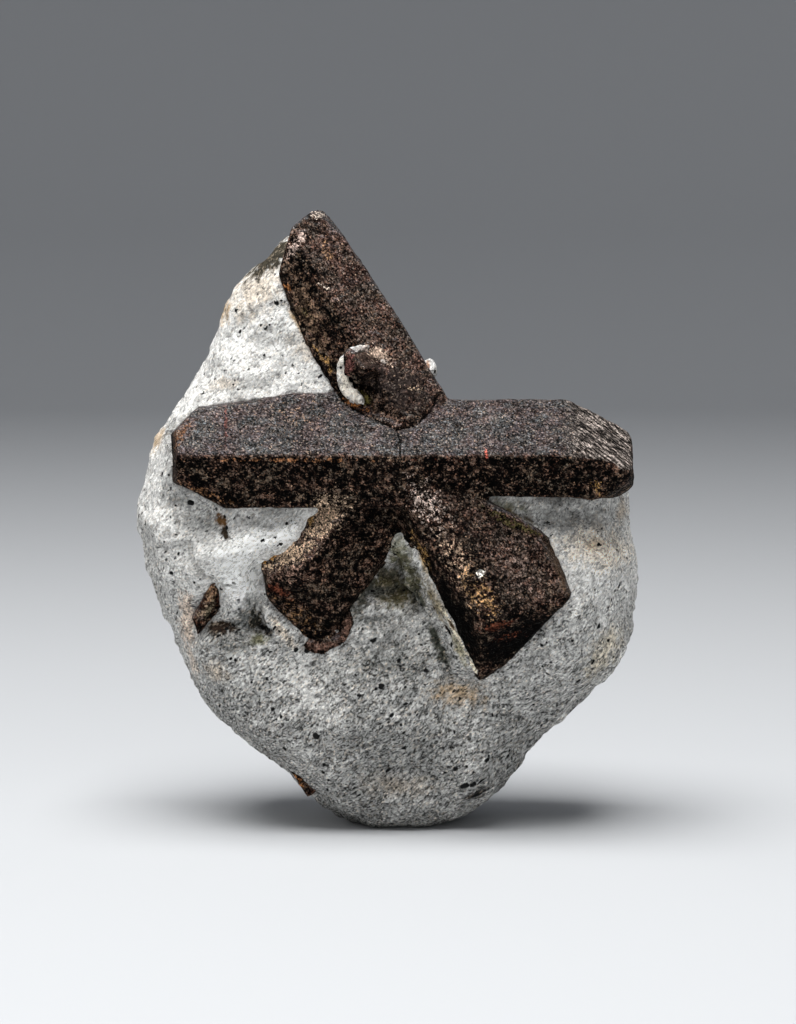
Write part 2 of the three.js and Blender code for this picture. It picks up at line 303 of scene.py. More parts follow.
# %% [markdown]
# ## The stone
#
# Schist weathers unevenly: the quartz and feldspar stand, the mica goes first. So the pebble has
# broad swells of several millimetres, a fine grain of about one, and grooves and ledges that
# follow its layers. The crystals shelter the stone beside them, which leaves a raised lip along
# the lower right arm, and the seams are never clean: crumbs of stone still cling to the crystals
# wherever the two meet. The lip and the crumbs are lumps stuck on before the surface is made.
# Broad swells and hollows are listed, each as a line seen from the front with a width
# and a height, and the rest is noise.

# %% The stone
STONE_CELL = 0.42
SWELLS_AND_HOLLOWS = [
    # what it is, its line as (x, z), half width, how far it stands up
    ("groove beside lip", [(3.2, 39), (5, 33.9), (7.8, 28), (9.4, 22.7)], 1, -0.8),
    ("first furrow in valley", [(-4.2, 35.6), (-1.6, 36.9), (0.6, 36.2), (2.8, 37.3)], 0.9, -0.8),
    ("ledge under that furrow", [(-2.4, 34.2), (0.6, 34.9), (2.8, 33.8)], 0.9, 0.7),
    ("second furrow", [(-4.8, 32), (-2.4, 33.3), (-0.6, 32.4)], 0.7, -0.7),
    ("third furrow", [(-1.8, 39.6), (0.8, 38.7), (2.6, 39.4)], 0.7, -0.6),
    ("slanting wrinkle", [(-0.6, 29), (2.6, 32), (4, 34.6)], 0.6, -0.5),
    ("ripple on belly", [(-2.5, 30.4), (4, 31.2)], 0.8, 0.6),
    ("hollow by lower left arm", [(-18.6, 35.8), (-18.9, 33.4), (-18.7, 31)], 0.8, -1.7),
    ("foot of that hollow", [(-18.7, 31), (-20, 30), (-22.4, 30.6)], 0.8, -1.1),
    ("bulge left of that hollow", [(-21.4, 40), (-21.2, 37), (-21.4, 34)], 1.7, 1.2),
    ("flank round small crystal", [(-25.5, 40), (-24, 35), (-25, 29)], 3.6, 1.6),
    ("bright shelf below bar", [(-26, 43), (-19, 44), (-13, 46.4)], 1.7, 1.2),
    ("furrow under small crystal's foot", [(-26.4, 32.1), (-22.8, 32.1)], 0.45, -0.8),
    ("swell below small crystal", [(-25.5, 29.8), (-21.5, 28.6)], 1.4, 0.8),
    ("shoulder at left", [(-35.5, 46), (-28.5, 42.5), (-22, 43)], 2.6, 0.9),
    ("furrow under left end of bar", [(-31, 50), (-25.5, 47.5)], 1.8, -0.8),
    ("furrow below bar", [(-21, 48.6), (-12.5, 49)], 1.2, -0.5),
    ("hollow under bar's right half", [(14, 48.5), (30, 48)], 1.6, -0.7),
    ("knob at right", [(33.5, 43), (30.5, 44)], 2, 0.6),
    ("break of slope at lower right", [(36, 29), (24, 14)], 1.6, 0.9),
    ("hollow above that break", [(31, 30), (20, 17)], 3, -0.6),
    ("dent in belly", [(-9, 12), (-4, 14)], 2.5, -0.7),
    ("swell at lower left", [(-24, 20), (-17, 16)], 2.5, 0.7),
    ("scoop left of belly", [(-12, 26), (-9, 19)], 2.2, -0.7),
]
LUMPS_OF_STONE = [
    # what it is, its line as (x, z), radius at its start and end, share that is sunk
    ("left of valley's neck", [(0.9, 44.4), (0.6, 41.4)], 1.2, 1.6, 0.55),
    ("right of valley's neck", [(2.4, 45), (3.4, 41.4)], 1.1, 1.5, 0.55),
    ("left side of lip", [(3.4, 41.6), (5.4, 37.2), (7.8, 32.4), (10.4, 27.2)], 1.9, 1.5, 0.5),
    ("lip along lower right arm", [(4.4, 42.4), (7, 37), (9.3, 32), (12.2, 25.4)], 1.2, 1, 0.3),
    ("crest of lip", [(7.3, 35.4), (9.4, 33), (11.1, 28.8), (13.1, 24.4)], 0.42, 0.42, -0.5),
    ("stone at upper arm's corner", [(-16, 80.4), (-15.2, 78.8)], 0.7, 0.7, 0.45),
    ("stone over bar's left corner", [(-29.8, 63), (-26.6, 65.4)], 1.2, 0.9, 0.4),
    ("corner above lower right arm", [(15.5, 50), (21.5, 46.8)], 1.1, 0.9, 0.4),
    ("stone against lower left arm", [(-17.9, 34.6), (-16.6, 31.2), (-13.8, 28.6)], 0.9, 0.7, 0.4),
    ("crust on horn's edge", [(-19.6, 82.6), (-17.8, 84.6), (-15.2, 87)], 0.6, 0.5, 0.4),
]


def distance_to_line(points, line):
    """How far each point is from a line of (x, z), seen from the front."""
    flat = points[:, [0, 2]]
    best = np.full(len(points), 1e9)
    for a, b in zip(np.array(line[:-1]), np.array(line[1:])):
        along = np.clip((flat - a) @ (b - a) / ((b - a) @ (b - a)), 0, 1)
        best = np.minimum(best, np.linalg.norm(flat - a - along[:, None] * (b - a), axis=1))
    return best


def lumps_along(lines, tree, random):
    """Overlapping lumps along lines seen from the front, each on the surface that is hit there."""
    for _, line, first, last, sunk in lines:
        for k, (a, b) in enumerate(zip(line[:-1], line[1:])):
            a, b = Vector((a[0], -80, a[1])), Vector((b[0], -80, b[1]))
            for share in np.arange(0, 1, 0.5 * first / (b - a).length):
                radius = first + (last - first) * (k + share) / (len(line) - 1)
                radius *= random.uniform(0.75, 1.15)
                place = tree.ray_cast(a.lerp(b, share), Vector((0, 1, 0)))[0]
                if place is not None:
                    at = place + Vector((0, sunk * radius, 0)) + Vector(random.normal(0, 0.12, 3))
                    yield lump(at, b - a, radius, random.uniform(1.0, 1.6))


def crumbs_on_seams(node, tree, random):
    """Lumps along the edges where a solid was cut away for the crystals."""
    cut = bmesh.new()
    cut.from_mesh(frame["nodes"][node].data)
    bmesh.ops.remove_doubles(cut, verts=cut.verts, dist=0.01 * MM)
    for edge in cut.edges:
        if len(edge.link_faces) != 2 or edge.calc_face_angle() < math.radians(35):
            continue
        a, b = (v.co / MM for v in edge.verts)
        hit = tree.find_nearest((a + b) / 2)
        if hit[3] > 0.6 or a.y > 0:
            continue
        for share in np.arange(random.uniform(0, 0.5), (b - a).length, 0.55) / (b - a).length:
            at = a.lerp(b, share)
            outward = -tree.find_nearest(at)[0] + at
            at += outward.normalized() * random.uniform(-0.1, 0.35) + Vector((0, 0.25, 0))
            yield lump(at, b - a, random.uniform(0.28, 0.75), random.uniform(0.8, 1.8), 0.8)
    cut.free()


crystals = tree_of("staurolite_twin", "staurolite_small_left", "staurolite_small_edge")
random = np.random.default_rng(7)
whole = tree_of(*frame["nodes"])
stuck_on = [
    *lumps_along(LUMPS_OF_STONE, whole, random),
    *crumbs_on_seams("schist_stone", crystals, random),
]
stone = Surface(fine_mesh("schist_stone", STONE_CELL, stuck_on))
_, gap = nearest(crystals, stone.points)
stone.smooth(3)
stone.smooth(16, ramp(gap, 0.6, 2.5)[:, None])

facing = stone.normals()
front = ramp(-facing[:, 1], 0.1, 0.6)
open_air = ramp(gap, 0.2, 1.4)
relief = 0.55 * rough(stone.points, 6.5, 2, 1) + 0.30 * rough(stone.points, 2.2, 2, 2)
layers = stone.points @ np.array([0.55, 0.35, -0.6])
relief += 0.12 * np.sin(layers * 2.1 + 3 * rough(stone.points, 7.0, 2, 3))
relief += 0.14 * rough(stone.points, 0.9, 2, 4)
pocks = ramp(rough(stone.points, 1.1, 1, 14), 0.30, 0.55)
relief -= 0.28 * pocks
for _, line, half_width, height in SWELLS_AND_HOLLOWS:
    ragged = distance_to_line(stone.points, line) + 0.35 * rough(stone.points, 2.5, 2, 5)
    relief += height * front * np.exp(-((ragged / half_width) ** 2))
stone.raise_by(relief * open_air)
seat(stone, crystals, SEAT_DEPTH, 1.2)
schist_stone = stone.finish("pebble_of_schist")
print("stone:", len(stone.points), "points,", len(stuck_on), "lumps")

# %% [markdown]
# ## The crystals
#
# Staurolite faces are flat but never smooth: they are pitted and granular, because the crystal
# took in quartz grains as it grew. Long weathering has rounded the edges unevenly. So each edge
# is first worn by a noisy share of a broad smoothing, which leaves the faces as they are, and
# then the granular relief goes on. Cracks follow where one prism leaves the other.

# %% The crystals
TWIN_CELL, SMALL_CELL = 0.28, 0.16
CRACKS = [
    # what it is, its line as (x, z), half width, depth
    ("left foot of upper arm", [(-7.4, 66), (-6, 64), (-2.4, 62.2), (1.4, 60.6)], 0.26, 0.35),
    ("right foot of upper arm", [(1.4, 60.6), (4.2, 61.2), (6.4, 63.2), (7.3, 65.4)], 0.26, 0.35),
    ("crack across bar", [(1.4, 60.6), (1.8, 59), (1.9, 56.6)], 0.18, 0.22),
]
LUMPS_OF_THE_CROSS = [
    # what it is, its line as (x, z), radius at its start and end, share that is sunk
    ("knob on nub", [(-5.3, 70.9), (-5.6, 69.6)], 0.95, 0.8, 0.35),
    ("left side of nub", [(-5.6, 69.2), (-5.9, 67.9)], 0.7, 0.7, 0.4),
    ("front of nub", [(-4.2, 69.6), (-2, 69.2)], 0.8, 0.6, 0.55),
    ("ragged edge where left arm starts", [(-10.9, 48.6), (-11.6, 46.2)], 0.5, 0.5, 0.4),
    ("ragged edge of left arm", [(-12, 45.6), (-14.6, 44), (-18.1, 41.9)], 0.5, 0.55, 0.4),
    ("left end of left arm", [(-17.9, 41.3), (-17.6, 39.6)], 0.5, 0.5, 0.5),
    ("ragged edge of right arm", [(13.4, 49.9), (18.4, 47.6), (22.9, 44.6)], 0.45, 0.5, 0.45),
    ("left edge of upper arm", [(-14.6, 81.6), (-14, 78.8), (-12.6, 76.4)], 0.5, 0.5, 0.5),
    ("left edge of its foot", [(-11.8, 74.6), (-8.4, 68.2)], 0.35, 0.35, 0.5),
]
# The step lies partly on the stone, so its lumps stand on whatever is in front there
LUMPS_OF_THE_STEP = [
    ("step at left arm's end", [(-11.6, 28.8), (-9.8, 28), (-6.8, 29.4)], 0.75, 0.85, 0.35),
    ("right side of that step", [(-6.2, 30), (-5.6, 33.6)], 0.75, 0.6, 0.4),
]


def worn_crystal(node, cell, edge_rounds, grain, lumps=()):
    """A crystal with unevenly worn edges and a granular surface."""
    crystal = Surface(fine_mesh(node, cell, lumps))
    crystal.smooth(2)
    wear = 0.35 + 0.65 * ramp(rough(crystal.points, 4.0, 3, 6), -0.3, 0.5)
    crystal.smooth(edge_rounds, wear[:, None])
    height = 0.16 * rough(crystal.points, 5.0, 2, 7) + grain * rough(crystal.points, 1.3, 3, 8)
    pits = ramp(rough(crystal.points, 1.0, 2, 9), 0.25, 0.6)
    crystal.raise_by(height - 0.12 * pits)
    return crystal


cross_alone = tree_of("staurolite_twin")
knobs = [
    *lumps_along(LUMPS_OF_THE_CROSS, cross_alone, random),
    *lumps_along(LUMPS_OF_THE_STEP, whole, random),
]
twin = worn_crystal("staurolite_twin", TWIN_CELL, 7, 0.10, knobs)
right_end = ramp(twin.points[:, 0], 24.0, 28.0)
twin.smooth(50, right_end[:, None])
twin.raise_by(right_end * (0.28 + 0.30 * rough(twin.points, 2.2, 2, 13)))
for _, line, half_width, depth in CRACKS:
    near = distance_to_line(twin.points, line) + 0.12 * rough(twin.points, 1.2, 2, 10)
    on_front = ramp(-twin.points[:, 1], 12, 14)
    twin.raise_by(-depth * on_front * np.exp(-((near / half_width) ** 2)))
staurolite_twin = twin.finish("cross_of_staurolite")

small_left = worn_crystal("staurolite_small_left", SMALL_CELL, 6, 0.20).finish("small_staurolite_left")
small_edge = worn_crystal("staurolite_small_edge", SMALL_CELL, 8, 0.12).finish("small_staurolite_edge")
print("twin:", len(twin.points), "points")

# %% [markdown]
# ## Shreds of stone on the upper arm
#
# A little schist still sticks to the upper arm, as a crescent round its nub and as a sliver on
# its edge. Both are thin, so they keep their outline, get a ragged grain, and are seated on the
# crystal that carries them.

# %% Shreds of stone
LUMPS_OF_THE_CRESCENT = [
    ("left side of crescent", [(-6.3, 71.1), (-6.7, 69.2), (-6.6, 67.4)], 0.5, 0.6, 0.2),
    ("foot of crescent", [(-6.4, 66.8), (-5.6, 65.4), (-4.6, 64.5)], 0.6, 0.5, 0.3),
    ("crust over nub", [(-5.6, 71.7), (-2.8, 72.1), (-0.9, 70.8)], 0.65, 0.6, 0.35),
    ("end of that crust", [(-2.4, 71.3), (-0.4, 70.2)], 0.5, 0.45, 0.35),
]


def shred(node, name, lumps, seed, rounds, height):
    surface = Surface(fine_mesh(node, SMALL_CELL, lumps))
    surface.smooth(rounds)
    surface.raise_by(height * rough(surface.points, 1.0, 3, seed))
    seat(surface, cross_alone, SEAT_DEPTH, 0.9)
    return surface.finish(name)


crust = list(lumps_along(LUMPS_OF_THE_CRESCENT, cross_alone, random))
crescent = shred("schist_crescent", "crescent_of_schist", crust, 11, 3, 0.24)
sliver = shred("schist_sliver", "sliver_of_schist", [], 12, 1, 0.14)
print("shreds:", len(crescent.data.vertices) + len(sliver.data.vertices), "points")

# %% [markdown]
# ## Dark grains
#
# The stone carries dark grains of tourmaline and biotite. Those large enough to be told apart
# are pieces of their own: flattened, slightly angular, sunk in the stone so that only their
# tops show. Each is placed by where it is seen from the front, and a ray finds the surface.

# %% Dark grains
GRAINS = [
    # x, z, half length, how many times longer than wide, turn from level in degrees
    (-0.9, 22.9, 0.52, 1.1, 20), (-10.4, 15.4, 0.57, 1.2, 0), (-4.1, 21.7, 0.38, 1.6, 5),
    (-16.7, 19.4, 0.33, 1.2, 40), (-15.5, 18.3, 0.29, 1.5, 80), (0.6, 18.6, 0.38, 1.3, 30),
    (0.1, 9.7, 0.6, 2.6, 38), (-9.3, 10.9, 0.3, 1.2, 60), (-9.4, 9.6, 0.3, 1.3, 70),
    (-8.7, 8.4, 0.26, 1.2, 0), (-8.9, 6.6, 0.3, 1.3, 45), (-4.2, 5.8, 0.3, 1.3, 10),
    (-24.2, 21.9, 0.45, 2.4, 80), (-19.8, 23.3, 0.25, 1.3, 60), (-24.7, 19.2, 0.22, 1.2, 40),
    (-22.8, 26.8, 0.3, 1.5, 50), (-22.1, 26.6, 0.28, 1.3, 120), (-13.3, 28.1, 0.43, 1.3, 80),
    (-11.7, 27.9, 0.43, 1.2, 0), (2.6, 22.7, 0.26, 1.4, 20), (2.7, 20.2, 0.42, 2.2, 10),
    (2, 17.1, 0.32, 1.6, 70), (4.6, 30.1, 0.2, 1.2, 0), (2.7, 29.9, 0.19, 1.2, 0),
    (2.4, 36.4, 0.22, 1.2, 0), (4, 35.2, 0.19, 1.2, 0), (-24.5, 30.3, 0.38, 1.8, 30),
    (11.4, 7.3, 0.75, 1.5, 15), (12.6, 7.5, 0.62, 1.9, 28), (13.9, 8, 0.6, 3.2, 35),
    (13.1, 6.2, 0.26, 1.5, 40), (11.6, 10.4, 0.23, 1.3, 0), (12.6, 9.5, 0.24, 1.4, 60),
    (8.5, 9.3, 0.28, 1.4, 0), (9.5, 8.2, 0.2, 1.2, 40), (18, 12.2, 0.33, 2, 85),
    (14.9, 11.9, 0.22, 1.2, 20), (9.8, 15.6, 0.28, 1.6, 110), (15.4, 18.2, 0.35, 2.4, 100),
    (20.4, 20.6, 0.26, 1.5, 70), (21.4, 19.5, 0.28, 1.6, 50), (25, 19.1, 0.22, 1.3, 50),
    (22.8, 15.8, 0.29, 1.3, 45), (23.3, 24.6, 0.32, 2.2, 150), (22.6, 25.7, 0.22, 1.5, 110),
    (30.8, 31.4, 0.43, 1.3, 40), (32.3, 28.9, 0.55, 2.2, 38), (26.8, 29.8, 0.26, 1.2, 0),
    (23.1, 29.4, 0.25, 1.4, 60), (28.3, 28, 0.19, 1.2, 0), (33.2, 26.4, 0.22, 1.3, 40),
    (-28.5, 49.7, 0.51, 1.1, 0), (-14.5, 46.9, 0.33, 1.3, 120), (-31.4, 39.2, 0.45, 1.5, 10),
    (-32.8, 53.5, 0.4, 2.2, 75), (-31.7, 53.6, 0.2, 1.2, 0), (-30.9, 52.7, 0.25, 1.6, 150),
    (-36, 47.5, 0.23, 1.3, 80), (-30.3, 42.2, 0.3, 1.6, 60), (-32.4, 43.9, 0.23, 1.5, 0),
    (-30.6, 45.1, 0.26, 2, 10), (-32.7, 35.5, 0.22, 1.5, 70), (-30.9, 32.9, 0.38, 2.4, 75),
    (-28, 38.1, 0.25, 1.3, 60), (-27.1, 38.7, 0.19, 1.5, 30), (-23.4, 31.2, 0.4, 1.8, 20),
    (-22.4, 31.7, 0.34, 1.4, 140), (-21.6, 31, 0.28, 1.3, 70), (-17.2, 31, 0.36, 1.9, 60),
    (-16.4, 31.4, 0.4, 2, 50), (-15.7, 30.9, 0.26, 1.4, 120), (-21.4, 74.3, 0.32, 1.4, 60),
    (-17.8, 71, 0.25, 1.3, 60), (-23.6, 68.7, 0.22, 1.5, 20), (-9.7, 68, 0.42, 2.2, 40),
    (-12.8, 68.4, 0.2, 1.6, 10), (-22.3, 66.7, 0.18, 1.2, 0), (-15.3, 78.9, 0.2, 1.2, 0),
    (-17.6, 74.8, 0.28, 1.6, 20), (-18.3, 75.3, 0.22, 1.3, 90), (-17, 75.4, 0.2, 1.3, 0),
    (-23.4, 47.9, 0.3, 1.5, 110), (-23.1, 46.3, 0.34, 1.5, 100),
]
GRAINS_BEHIND = [
    (-24.6, 58.2, 0.42, 1.4, 30), (-22.9, 56.9, 0.28, 1.3, 80), (-30.1, 49.4, 0.5, 1.8, 60),
    (-27.5, 39, 0.3, 1.4, 0), (-33, 37.8, 0.36, 2.1, 110), (-20.2, 45.6, 0.55, 1.3, 25),
    (-18.8, 44.2, 0.3, 1.5, 70), (-12.6, 52.3, 0.34, 1.2, 10), (-9.8, 35.4, 0.6, 1.6, 40),
    (-14.9, 27.2, 0.26, 1.3, 0), (-23.3, 24.9, 0.45, 2.3, 140), (-12.1, 17.7, 0.38, 1.2, 20),
    (-5.6, 12.2, 0.3, 1.5, 60), (-3.9, 26.1, 0.3, 1.2, 0), (-1.4, 44.8, 0.4, 1.7, 130),
    (2.2, 52.6, 0.26, 1.3, 0), (4.9, 33.1, 0.48, 1.3, 50), (6.3, 31.9, 0.26, 1.6, 10),
    (8, 20.4, 0.34, 2.4, 80), (3.6, 9.1, 0.52, 1.5, 25), (12.9, 13.5, 0.28, 1.3, 0),
    (13.8, 41, 0.45, 1.4, 70), (17.5, 49.6, 0.3, 1.2, 20), (19.1, 28.4, 0.58, 1.9, 35),
    (20.6, 27, 0.25, 1.3, 90), (24.4, 36.3, 0.33, 1.5, 0), (27.9, 45.1, 0.4, 1.2, 60),
    (29.7, 29.8, 0.28, 1.8, 120), (24.8, 19.2, 0.3, 1.3, 0), (-16.3, 68, 0.36, 1.5, 40),
    (-14.8, 76.4, 0.24, 1.3, 0), (-27.4, 65.3, 0.3, 1.4, 100), (-8.7, 61.9, 0.28, 2, 30),
]


def dark_grains(name, sides, surface, seed):
    """Flattened grains sunk in a surface: side -1 is its front, 1 its back."""
    random = np.random.default_rng(seed)
    polygons = [tuple(p.vertices) for p in surface.mesh.polygons]
    tree = BVHTree.FromPolygons(surface.points.tolist(), polygons)
    points, faces = [], []
    grains = [(side, *grain) for side, grains in sides.items() for grain in grains]
    for side, x, z, half_length, longer, turn in grains:
        place, normal, _, _ = tree.ray_cast(Vector((x, 80 * side, z)), Vector((0, -side, 0)))
        if place is None or normal.y * side < 0:
            continue
        grain = BALL_POINTS * (1 + 0.13 * random.standard_normal((len(BALL_POINTS), 1)))
        grain *= (half_length, half_length / longer, 0.35 * half_length / longer + 0.10)
        level = Vector((math.cos(math.radians(turn)), 0, math.sin(math.radians(turn))))
        along = (level - normal * level.dot(normal)).normalized()
        axes = Matrix((along, normal.cross(along), normal))
        start = len(points)
        points += (grain @ np.array(axes) + np.array(place - normal * 0.02)).tolist()
        faces += [[start + i for i in face] for face in BALL_FACES]
    mesh = bpy.data.meshes.new(name)
    mesh.from_pydata((np.array(points) * MM).tolist(), [], faces)
    mesh.shade_smooth()
    return shown(name, mesh)


grains = dark_grains("dark_grains_in_schist", {-1: GRAINS, 1: GRAINS_BEHIND}, stone, 4)
print("grains:", len(grains.data.vertices) // len(BALL_POINTS), "of", len(GRAINS) + len(GRAINS_BEHIND))

# %% [markdown]
# ## Arithmetic for finishes
#
# A finish is a sum of a few ideas: a ground colour, grains, and patches at known places, of stain
# and of painted light and shade. Written as node links that is hard to read, so a small class lets
# a node's socket be used like a number. Numbers go through Math nodes, colours and places through
# Vector Math and Mix.

# %% Arithmetic for finishes
class Signal:
    """A number, colour or place inside a finish."""

    def __init__(self, tree, socket):
        self.tree, self.socket = tree, socket

    def node(self, kind, settings=(), values=(), output=0):
        """The output of a new node in the same finish."""
        made = self.tree.nodes.new("ShaderNode" + kind)
        for name, value in dict(settings).items():
            setattr(made, name, value)
        for name, value in dict(values).items():
            feed(self.tree, made.inputs[name], value)
        return Signal(self.tree, made.outputs[output])

    def join(self, operation, a, b):
        wide = any(
            isinstance(v, tuple) or (isinstance(v, Signal) and v.socket.type != "VALUE")
            for v in (a, b)
        )
        kind = "VectorMath" if wide else "Math"
        return self.node(kind, {"operation": operation}, {0: a, 1: b})

    def __add__(self, other):
        return self.join("ADD", self, other)

    def __radd__(self, other):
        return self.join("ADD", other, self)

    def __sub__(self, other):
        return self.join("SUBTRACT", self, other)

    def __rsub__(self, other):
        return self.join("SUBTRACT", other, self)

    def __mul__(self, other):
        return self.join("MULTIPLY", self, other)

    def __rmul__(self, other):
        return self.join("MULTIPLY", other, self)

    def __pow__(self, other):
        return self.join("POWER", self, other)

    def least(self, other):
        return self.join("MINIMUM", self, other)

    def most(self, other):
        return self.join("MAXIMUM", self, other)

    def axis(self, name):
        """One coordinate of a place."""
        return self.node("SeparateXYZ", (), {0: self}, "XYZ".index(name))

    def length(self):
        return self.node("VectorMath", {"operation": "LENGTH"}, {0: self}, "Value")

    def rise(self, low, high):
        """0 below low, 1 above high, smooth between; with low above high it falls."""
        return self.node(
            "MapRange",
            {"interpolation_type": "SMOOTHSTEP"},
            {"Value": self, "From Min": low, "From Max": high},
        )

    def between(self, a, b):
        """The colour a where this number is 0, and b where it is 1."""
        return self.node("Mix", {"data_type": "RGBA"}, {0: self, 6: a, 7: b}, 2)

    def turned(self, degrees, scale=(1, 1, 1)):
        """A place turned about the viewing direction, then stretched."""
        turned = self.node(
            "VectorRotate",
            {"rotation_type": "Y_AXIS"},
            {"Vector": self, "Angle": math.radians(degrees)},
        )
        return turned * scale

    def noise(self, size, detail=2.0, roughness=0.5, output="Fac"):
        """Noise about 0.5 with lumps of that many millimetres."""
        values = {"Vector": self, "Scale": 1 / size, "Detail": detail, "Roughness": roughness}
        return self.node("TexNoise", (), values, output)

    def cells(self, size, output="Distance"):
        """Grains of that many millimetres: the way to each middle, or one colour for each."""
        return self.node("TexVoronoi", (), {"Vector": self, "Scale": 1 / size}, output)

    def oval(self, a, b, half_width):
        """0 in the middle and 1 on the edge of an oval round a and b, seen from the front."""
        way = Vector((b[0] - a[0], b[1] - a[1]))
        middle = ((a[0] + b[0]) / 2, 0.0, (a[1] + b[1]) / 2)
        turn = (0.0, -math.atan2(way.y, way.x), 0.0)
        halves = (way.length / 2 + half_width, 1000.0, half_width)
        values = {"Vector": self, "Location": middle, "Rotation": turn, "Scale": halves}
        return self.node("Mapping", {"vector_type": "TEXTURE"}, values).length()


def feed(tree, entry, value):
    """Links or sets one input of a node."""
    if isinstance(value, Signal):
        tree.links.new(value.socket, entry)
    elif entry.type == "RGBA":
        entry.default_value = (*value, 1) if isinstance(value, tuple) else (value,) * 3 + (1,)
    elif entry.type == "VECTOR":
        entry.default_value = value if isinstance(value, tuple) else (value,) * 3
    else:
        entry.default_value = value


class Finish:
    """A material whose Principled shader is fed by signals."""

    def __init__(self, name, **plain):
        self.material = bpy.data.materials.new(name)
        self.material.use_nodes = True
        self.tree = self.material.node_tree
        self.shader = self.tree.nodes["Principled BSDF"]
        for socket, value in plain.items():
            self.shader.inputs[socket.replace("_", " ")].default_value = value
        start = Signal(self.tree, None)
        self.place = start.node("TexCoord", (), (), "Object") * (1 / MM)
        self.facing = start.node("NewGeometry", (), (), "Normal")

    def set(self, **signals):
        for socket, value in signals.items():
            feed(self.tree, self.shader.inputs[socket.replace("_", " ")], value)

    def bump(self, height, depth):
        """Height in millimetres, standing up to "depth"."""
        values = {"Strength": 1.0, "Distance": depth * MM, "Height": height}
        self.set(Normal=height.node("Bump", (), values, "Normal"))

    def stains_and_painted_light(self, colour, stains_and_painted_light, ragged, grain=None):
        """Lays stain and painted light and shade over a colour, each an oval round a line
        seen from the front.

        A stain thins out towards its edge. Where grain is given, a number from 0 to 1, it
        does so grain by grain: most grains take it wholly or not at all."""
        away = ragged + self.facing.axis("Y").rise(0.2, 0.6) * 9.0
        for _, a, b, half_width, tint, strength in stains_and_painted_light:
            share = (self.place.oval(a, b, half_width) + away).rise(1.0, 0.1) * strength
            if grain is not None:
                share = (share - grain).rise(-0.05, 0.25)
            colour = share.between(colour, tint)
        return colour


floor_finish = Finish("pale_floor", Roughness=0.9, Base_Color=(0.50, 0.51, 0.52, 1))
floor.data.materials.append(floor_finish.material)
print("arithmetic ready")

# %% [markdown]
# ## The finish of the schist
#
# Seen close, the stone is a salt-and-pepper of quartz, feldspar and mica grains under half a
# millimetre, drawn out along its layers. Three things set the colour: how white the place is,
# which falls from the top to the bottom, partly the stone's own greying and partly painted shade
# for the lamp above, and drifts in clouds; the grain itself; and scattered black flecks. Under
# them lie the rust, ochre and green where iron has seeped from the crystals, and patches of
# painted light and shade: whiter on the shelf and bulge below the bar, grey under the bar and in
# the hollow, the furrows, the valley and the groove by the lip.

# %% The finish of the schist
WHITE = (0.76, 0.75, 0.72)
CHALK = (0.90, 0.89, 0.87)
GREY = (0.25, 0.25, 0.24)
BLACK = (0.006, 0.006, 0.006)
RUST = (0.30, 0.12, 0.04)
OCHRE = (0.46, 0.31, 0.16)
MOSS = (0.17, 0.165, 0.095)
IVORY = (0.62, 0.50, 0.37)
SHADE = (0.085, 0.09, 0.085)

